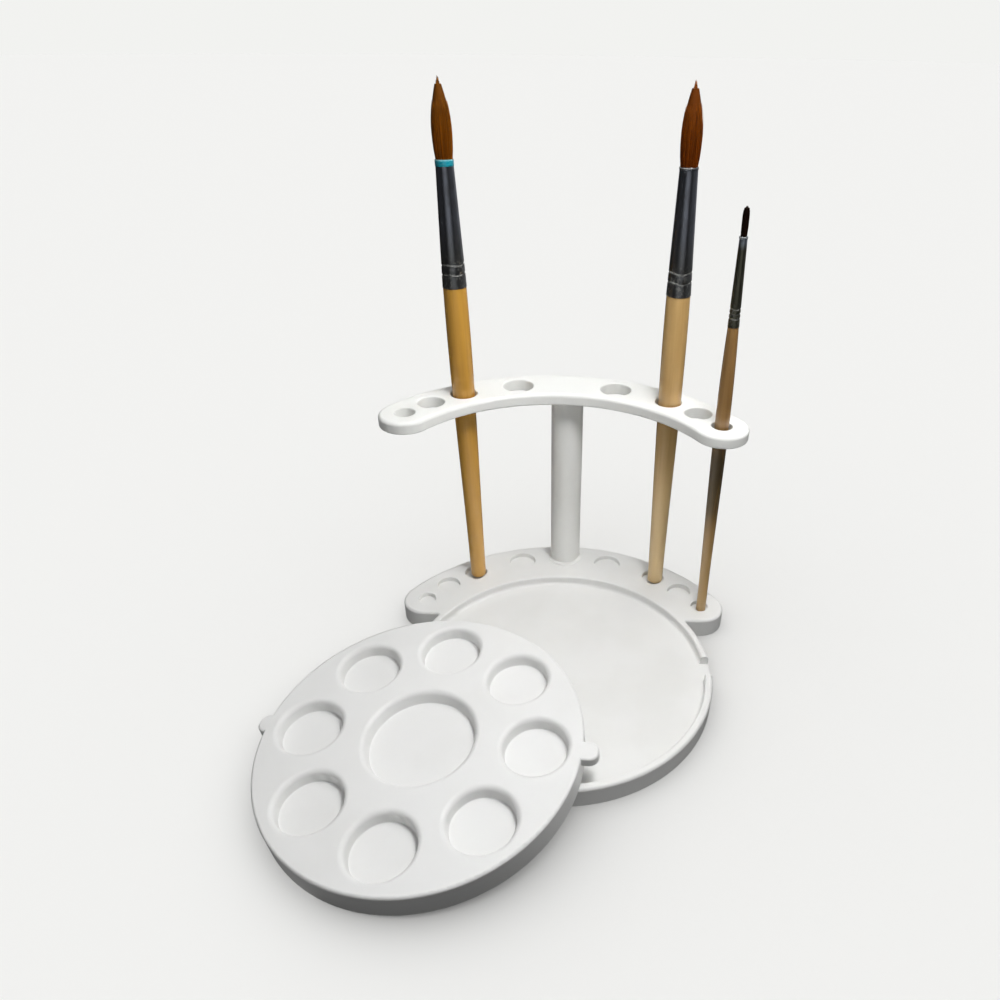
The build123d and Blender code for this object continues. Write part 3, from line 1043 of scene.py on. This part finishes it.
@dataclass
class MouthBand:
    """Coloured sleeve on the left brush's ferrule, cut a little unevenly, in millimetres.

    The last three sizes shape its rounded edge, as shares of half its wall.
    """

    height: float = 1.9
    lip: float = 0.35
    wall: float = 0.12
    bore: float = 3.39
    sides: int = 96
    rounding: float = 50.0
    swell: float = 0.02
    swell_low: float = 0.5
    swell_high: float = 0.6
    chamfer: float = 0.036
    rag: float = 0.09
    rag_height: float = 1.0
    rag_waves: tuple[Wave, ...] = ((1, 1.0, 0.7), (3, 0.4, 0.0), (7, 0.2, 1.2))
    shoulder_in: float = 0.35
    shoulder_drop: float = 0.25
    bore_drop: float = 0.8

    def rings(self) -> list[tuple[float, float]]:
        """Rings of the sleeve, up its outside, over its rounded edge and down its bore.

        Returns:
            Radius and height of each ring in metres.
        """
        outer = self.bore + self.wall
        bead = self.wall / 2
        low = -self.height
        rings = [(outer - self.chamfer, low), (outer, low + self.chamfer),
                 (outer + self.swell / 2, low + self.swell_low), (outer + self.swell, -self.swell_high),
                 (outer, self.lip - bead),
                 (outer - bead * self.shoulder_in, self.lip - bead * self.shoulder_drop),
                 (outer - bead, self.lip), (self.bore, self.lip - bead * self.bore_drop), (self.bore, low)]
        return [(radius * MM, height * MM) for radius, height in rings]

    def build(self, place: Matrix) -> bpy.types.Object:
        """Models the sleeve.

        Args:
            place: The left brush's own frame.

        Returns:
            The sleeve.
        """
        piece = Turned("left_brush_sleeve", self.sides, self.rings(), closed=True,
                       rounding=self.rounding).build()
        for vertex in piece.data.vertices:
            angle = math.atan2(vertex.co.y, vertex.co.x)
            reach = max(0.0, (vertex.co.z / MM + self.rag_height) / (self.rag_height + self.lip))
            vertex.co.z += ripple(angle, self.rag_waves) * reach * self.rag * MM
        seat(piece, place, Sleeve().material(place))
        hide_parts("left_brush_mouth_band")
        LOG.info("modelled %s", piece.name)
        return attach(piece, Side.LEFT.value)


@dataclass
class Holder:
    """The stand and the palette, whose solids keep their form and get their finish."""

    moulding: Plastic = Plastic("stand_plastic")
    # Painted light: a brighter copy of the white plastic for the rack and the post, which stand nearer the
    # lamps.
    upper: Plastic = Plastic("rack_and_post_lit_plastic", clean=tint(0.87, 0.875, 0.85), dull=tint(0.82, 0.825, 0.79))
    palette: Plastic = Plastic("palette_plastic", clean=tint(0.81, 0.81, 0.80), dull=tint(0.76, 0.76, 0.745))
    screw: Hidden = Hidden("zinc_screw", pale=tint(0.55, 0.56, 0.58), deep=tint(0.38, 0.38, 0.37), metal=1.0,
                           gloss=(0.3, 0.45))

    def build(self) -> None:
        """Dresses the nodes."""
        white = self.moulding.material()
        dress("base_tray", white)
        upper = self.upper.material()
        for node in ("post", "upper_rack"):
            dress(node, upper)
        dress("palette", self.palette.material())
        dress("post_screw", self.screw.material())


@dataclass(frozen=True)
class Lamp:
    """A round lamp near the object, with its place and size in metres and the share of full white it gives."""

    name: str
    place: Size
    size: float
    white: float


@dataclass(frozen=True)
class Card:
    """A flat soft light that only shows as a reflection, with its place and size in metres."""

    name: str
    place: Size
    width: float
    height: float
    glow: float


@dataclass(frozen=True)
class Sun:
    """A wide soft light far away, with its height, direction from +Y towards +X and width in degrees."""

    name: str
    strength: float
    elevation: float
    azimuth: float
    spread: float


class Reach(Enum):
    """What a light falls on."""

    OBJECT = "EXCLUDE"
    FLOOR = "INCLUDE"


@dataclass
class Studio:
    """Pale floor and backdrop, soft lamps over the object, and the camera."""

    floor_colour: Colour = tint(0.89, 0.89, 0.875)
    floor_roughness: float = 0.9
    backdrop_colour: Colour = tint(0.887, 0.89, 0.871)
    black: Colour = tint(0.0, 0.0, 0.0)
    flag_colour: Colour = tint(0.01, 0.01, 0.01)
    stage_radius: float = 8.0
    floor_sides: int = 96
    backdrop_share: float = 1.02
    backdrop_sides: int = 48
    lamps: tuple[Lamp, ...] = (Lamp("key_lamp", (0.06, -0.07, 0.38), 0.08, 0.84),
                               Lamp("side_lamp", (0.12, 0.0, 0.40), 0.10, 0.335),
                               Lamp("rear_lamp", (0.15, 0.30, 0.60), 0.30, 0.137))
    lamp_aim: Size = (0.0, 0.0, 0.02)
    white_power: float = 2 / 3 * math.pi ** 2
    cards: tuple[Card, ...] = (Card("front_card", (0.02, -0.45, 0.13), 0.46, 0.26, 0.5),
                               Card("top_card", (0.0, 0.10, 0.75), 0.80, 0.80, 0.8),
                               Card("key_card", (0.06, -0.07, 0.50), 0.16, 0.16, 1.6),
                               Card("left_card", (-0.9, -0.1, 0.10), 1.2, 0.6, 0.05),
                               Card("right_card", (0.9, 0.0, 0.10), 1.1, 0.6, 0.14),
                               Card("rear_card", (0.3, 1.2, 0.10), 2.6, 0.7, 0.36))
    card_aim: Size = (0.0, 0.06, 0.16)
    flag_place: Size = (-0.025, -0.135, -0.0005)
    flag_radius: float = 0.06
    flag_sides: int = 64
    floor_sun: Sun = Sun("floor_light", 2.31, 80.0, -25.0, 140.0)
    sky: float = 0.278
    sky_slope: float = 0.15
    camera_place: Size = (0.006584, -0.23966, 0.237754)
    pitch: float = 0.589
    yaw: float = -0.029
    roll: float = -0.011
    sensor: float = 36.0
    focal_pixels: float = 759.93
    centre_pixels: tuple[float, float] = (560.15, 531.74)
    image_pixels: float = 1000.0
    nearest: float = 0.01
    farthest: float = 32.0
    hidden_from: tuple[str, ...] = ("visible_diffuse", "visible_glossy", "visible_transmission")

    def stage_piece(self, piece: bpy.types.Object, finish: bpy.types.Material) -> bpy.types.Object:
        """Gives a stage piece its finish, and keeps it out of the object's own light.

        Args:
            piece: The floor or the backdrop.
            finish: Its material.

        Returns:
            The piece.
        """
        piece.data.materials.append(finish)
        for flag in self.hidden_from:
            setattr(piece, flag, False)
        return piece

    def make_floor(self) -> bpy.types.Object:
        """Adds the floor.

        Returns:
            The floor.
        """
        bpy.ops.object.select_all(action="DESELECT")
        bpy.ops.mesh.primitive_circle_add(vertices=self.floor_sides, radius=self.stage_radius,
                                          fill_type="NGON")
        floor = bpy.context.object
        floor.name = "floor"
        graph = Graph("pale_floor")
        return self.stage_piece(floor, graph.finish(Base_Color=self.floor_colour,
                                                    Roughness=self.floor_roughness, Specular_IOR_Level=0.0))

    def make_backdrop(self) -> None:
        """Adds the backdrop, a pale shell far round the object that lights nothing."""
        bpy.ops.object.select_all(action="DESELECT")
        bpy.ops.mesh.primitive_uv_sphere_add(segments=self.backdrop_sides, ring_count=self.backdrop_sides // 2,
                                             radius=self.stage_radius * self.backdrop_share)
        shell = bpy.context.object
        shell.name = "backdrop"
        shell.visible_shadow = False
        graph = Graph("pale_backdrop")
        finish = graph.finish(Base_Color=self.black, Roughness=1.0, Specular_IOR_Level=0.0,
                              Emission_Color=self.backdrop_colour, Emission_Strength=1.0)
        self.stage_piece(shell, finish)

    def make_flag(self) -> None:
        """Adds a dark card under the floor, in front, that keeps light from below off the palette's edge."""
        bpy.ops.object.select_all(action="DESELECT")
        bpy.ops.mesh.primitive_circle_add(vertices=self.flag_sides, radius=self.flag_radius,
                                          location=self.flag_place, fill_type="NGON")
        flag = bpy.context.object
        flag.name = "dark_flag"
        bpy.ops.object.transform_apply(location=True, rotation=True, scale=True)
        graph = Graph("black_cloth")
        flag.data.materials.append(graph.finish(Base_Color=self.flag_colour, Roughness=1.0))
        flag.visible_camera = False
        flag.visible_glossy = False

    def place_light(self, light: bpy.types.Light, floor: bpy.types.Object, reach: Reach,
                    towards: Vector) -> bpy.types.Object:
        """Puts a light in the scene and chooses what it falls on.

        Args:
            light: The light.
            floor: The floor.
            reach: Whether it falls on the object or on the floor.
            towards: The direction from which it shines.

        Returns:
            The light's object.
        """
        lamp = bpy.data.objects.new(light.name, light)
        bpy.context.scene.collection.objects.link(lamp)
        lamp.rotation_euler = towards.to_track_quat("Z", "Y").to_euler()
        lamp.visible_camera = False
        lit = bpy.data.collections.new(light.name + "_reach")
        lit.objects.link(floor)
        lit.collection_objects[0].light_linking.link_state = reach.value
        lamp.light_linking.receiver_collection = lit
        return lamp

    def make_sun(self, sun: Sun, floor: bpy.types.Object, reach: Reach) -> None:
        """Adds a far light.

        Args:
            sun: Its sizes.
            floor: The floor.
            reach: Whether it falls on the object or on the floor.
        """
        light = bpy.data.lights.new(sun.name, "SUN")
        light.energy = sun.strength
        light.angle = math.radians(sun.spread)
        up = math.radians(sun.elevation)
        turn = math.radians(sun.azimuth)
        towards = Vector((math.sin(turn) * math.cos(up), math.cos(turn) * math.cos(up), math.sin(up)))
        self.place_light(light, floor, reach, towards)

    def make_lamp(self, sizes: Lamp, floor: bpy.types.Object) -> None:
        """Adds a near lamp that points at the middle of the stand; cards give its reflection.

        Args:
            sizes: Its place, size and share of full white.
            floor: The floor.
        """
        light = bpy.data.lights.new(sizes.name, "AREA")
        light.shape = "DISK"
        light.size = sizes.size
        away = Vector(sizes.place) - Vector(self.lamp_aim)
        light.energy = sizes.white * self.white_power * away.length_squared
        lamp = self.place_light(light, floor, Reach.OBJECT, away)
        lamp.location = sizes.place
        lamp.visible_glossy = False

    def make_card(self, card: Card, floor: bpy.types.Object) -> None:
        """Adds a card that the metal and the lacquer mirror, aimed at the brushes.

        Args:
            card: Its place, size and glow.
            floor: The floor.
        """
        light = bpy.data.lights.new(card.name, "AREA")
        light.shape = "RECTANGLE"
        light.size = card.width
        light.size_y = card.height
        light.energy = card.glow * math.pi * card.width * card.height
        towards = Vector(card.place) - Vector(self.card_aim)
        lamp = self.place_light(light, floor, Reach.OBJECT, towards)
        lamp.location = card.place
        lamp.visible_diffuse = False

    def make_sky(self) -> None:
        """Sets the dim light from all round, weaker from in front, which metal doesn't mirror."""
        world = bpy.data.worlds.new("sky")
        bpy.context.scene.world = world
        world.use_nodes = True
        background = next(node for node in world.node_tree.nodes if node.type == "BACKGROUND")
        background.inputs["Color"].default_value = tint(1.0, 1.0, 1.0)
        nodes, links = world.node_tree.nodes, world.node_tree.links
        ways = nodes.new("ShaderNodeSeparateXYZ")
        links.new(nodes.new("ShaderNodeTexCoord").outputs["Generated"], ways.inputs[0])
        slope = nodes.new("ShaderNodeMapRange")
        links.new(ways.outputs["Y"], slope.inputs["Value"])
        slope.inputs["From Min"].default_value = -1.0
        slope.inputs["To Min"].default_value = self.sky * (1.0 - self.sky_slope)
        slope.inputs["To Max"].default_value = self.sky * (1.0 + self.sky_slope)
        links.new(slope.outputs["Result"], background.inputs["Strength"])
        world.cycles_visibility.glossy = False

    def make_camera(self) -> None:
        """Adds the camera at the photograph's place, angle and framing."""
        data = bpy.data.cameras.new("camera")
        data.sensor_width = self.sensor
        data.lens = self.focal_pixels / self.image_pixels * data.sensor_width
        data.shift_x = 0.5 - self.centre_pixels[0] / self.image_pixels
        data.shift_y = self.centre_pixels[1] / self.image_pixels - 0.5
        data.clip_start = self.nearest
        data.clip_end = self.farthest
        camera = bpy.data.objects.new("camera", data)
        bpy.context.scene.collection.objects.link(camera)
        flat = Vector((math.sin(self.yaw), math.cos(self.yaw), 0))
        ahead = math.cos(self.pitch) * flat - math.sin(self.pitch) * Vector((0, 0, 1))
        level = Vector((math.cos(self.yaw), -math.sin(self.yaw), 0))
        down = ahead.cross(level)
        right = math.cos(self.roll) * level + math.sin(self.roll) * down
        up = math.sin(self.roll) * level - math.cos(self.roll) * down
        turn = Matrix((right, up, -ahead)).transposed().to_4x4()
        camera.matrix_world = Matrix.Translation(Vector(self.camera_place)) @ turn
        bpy.context.scene.camera = camera

    def build(self) -> None:
        """Builds the whole studio."""
        bpy.context.scene.view_settings.view_transform = "Standard"
        self.make_camera()
        floor = self.make_floor()
        self.make_backdrop()
        self.make_flag()
        for sizes in self.lamps:
            self.make_lamp(sizes, floor)
        for card in self.cards:
            self.make_card(card, floor)
        self.make_sun(self.floor_sun, floor, Reach.FLOOR)
        self.make_sky()


def big_brush(side: Side, lacquer: Lacquer, hair: dict[str, Colour], lip_swell: float, seed: int) -> Brush:
    """One of the two large round brushes, which share their sizes and differ in wood, hair and lip.

    Args:
        side: Which brush it is.
        lacquer: Its handle's finish.
        hair: The hair's colours.
        lip_swell: How far the ferrule's lip stands out.
        seed: What its hair is drawn from.

    Returns:
        The brush.
    """
    form = FerruleForm(crimps=(5.2, 8.9), crimp_width=1.2, crimp_depth=0.26, dimples=9, wall=0.25, wave=0.3)
    cut = HairCut(length=27.0, belly_radius=3.9, belly_height=10.0, strands=900, strand_radius=0.11, wobble=0.3)
    word = side.name.lower()
    plating = Plating(word + "_nickel", bright=tint(0.30, 0.32, 0.375), dark=tint(0.20, 0.20, 0.175),
                      foot_step=(-36.0, -18.0), collar_step=(-37.0, -31.0), gloss=0.33)
    return Brush(side, lacquer, plating, HairTone(word + "_hair", length=cut.length, **hair),
                 replace(form, lip_swell=lip_swell), cut, "dark_nickel", side.value + "_hair", seed)


def left_brush() -> Brush:
    """The left brush, of yellow wood, whose plain lip is under the coloured sleeve.

    Returns:
        The brush.
    """
    # Painted light on the paler lower end, and painted shade on the stretch under the rack.
    lacquer = Lacquer("left_lacquer", pale=tint(0.59, 0.31, 0.045), deep=tint(0.46, 0.22, 0.028),
                      foot=tint(0.76, 0.43, 0.11), foot_share=0.6, pore_and_shade=tint(0.30, 0.14, 0.03),
                      rack_shade_share=0.15)
    hair = {"root": tint(0.22, 0.06, 0.001), "tip": tint(0.27, 0.09, 0.006),
            "shade": tint(0.05, 0.014, 0.0005)}
    return big_brush(Side.LEFT, lacquer, hair, lip_swell=0.02, seed=11)


def right_brush() -> Brush:
    """The right brush, of paler wood, with a rolled lip.

    Returns:
        The brush.
    """
    # Painted light on the paler lower end, and painted shade on the stretch under the rack.
    lacquer = Lacquer("right_lacquer", pale=tint(0.62, 0.395, 0.15), deep=tint(0.51, 0.305, 0.10),
                      foot=tint(0.84, 0.63, 0.33), foot_share=0.75, pore_and_shade=tint(0.34, 0.20, 0.08),
                      rack_shade_share=0.15)
    hair = {"root": tint(0.17, 0.035, 0.001), "tip": tint(0.22, 0.058, 0.004),
            "shade": tint(0.04, 0.009, 0.0005)}
    return big_brush(Side.RIGHT, lacquer, hair, lip_swell=0.14, seed=23)


def small_brush() -> Brush:
    """The small brush, of brown wood with painted shade on the stretch under the rack, and blunt dark hair.

    Returns:
        The brush.
    """
    # Painted light on the paler lower end, and painted shade on the stretch under the rack.
    lacquer = Lacquer("small_lacquer", pale=tint(0.34, 0.185, 0.06), deep=tint(0.22, 0.115, 0.032),
                      foot=tint(0.66, 0.44, 0.19), foot_share=0.75, pore_and_shade=tint(0.052, 0.051, 0.024),
                      rack_shade_share=0.72, rack_shade_low=-118.0)
    # Painted reflection: the top of the small ferrule is pale bluish silver and the rest is dark.
    plating = Plating("small_nickel", bright=tint(0.60, 0.68, 0.78), dark=tint(0.17, 0.165, 0.10),
                      foot_step=(-5.0, -0.8), foot_share=0.92, collar_step=(-25.0, -22.0), gloss=0.4)
    form = FerruleForm(crimps=(3.2, 5.0, 6.8), crimp_width=1.1, crimp_depth=0.2, dimples=6, wall=0.22, wave=0.1,
                       sides=56)
    cut = HairCut(length=10.2, belly_radius=1.28, belly_height=5.0, strands=260, strand_radius=0.07,
                  wobble=0.1, crown_drop=0.16, tip_narrowing=0.55, tip_curve=4.0)
    hair = HairTone("small_hair", root=tint(0.014, 0.005, 0.002), tip=tint(0.009, 0.004, 0.002),
                    shade=tint(0.003, 0.001, 0.0005), length=cut.length)
    return Brush(Side.SMALL, lacquer, plating, hair, form, cut, "bright_nickel", "small_brush_hair", seed=37)


def main() -> None:
    """Builds the studio, the holder and the brushes in order."""
    logging.basicConfig(level=logging.INFO, format="%(name)s: %(message)s")
    Studio().build()
    Holder().build()
    resin = Hidden("resin", pale=tint(0.55, 0.42, 0.2), deep=tint(0.4, 0.27, 0.1), metal=0.0,
                   gloss=(0.35, 0.5)).material()
    for brush in (left_brush(), right_brush(), small_brush()):
        brush.build(resin)
        if brush.side is Side.LEFT:
            MouthBand().build(brush.spine().place)


if __name__ == "__main__":
    main()
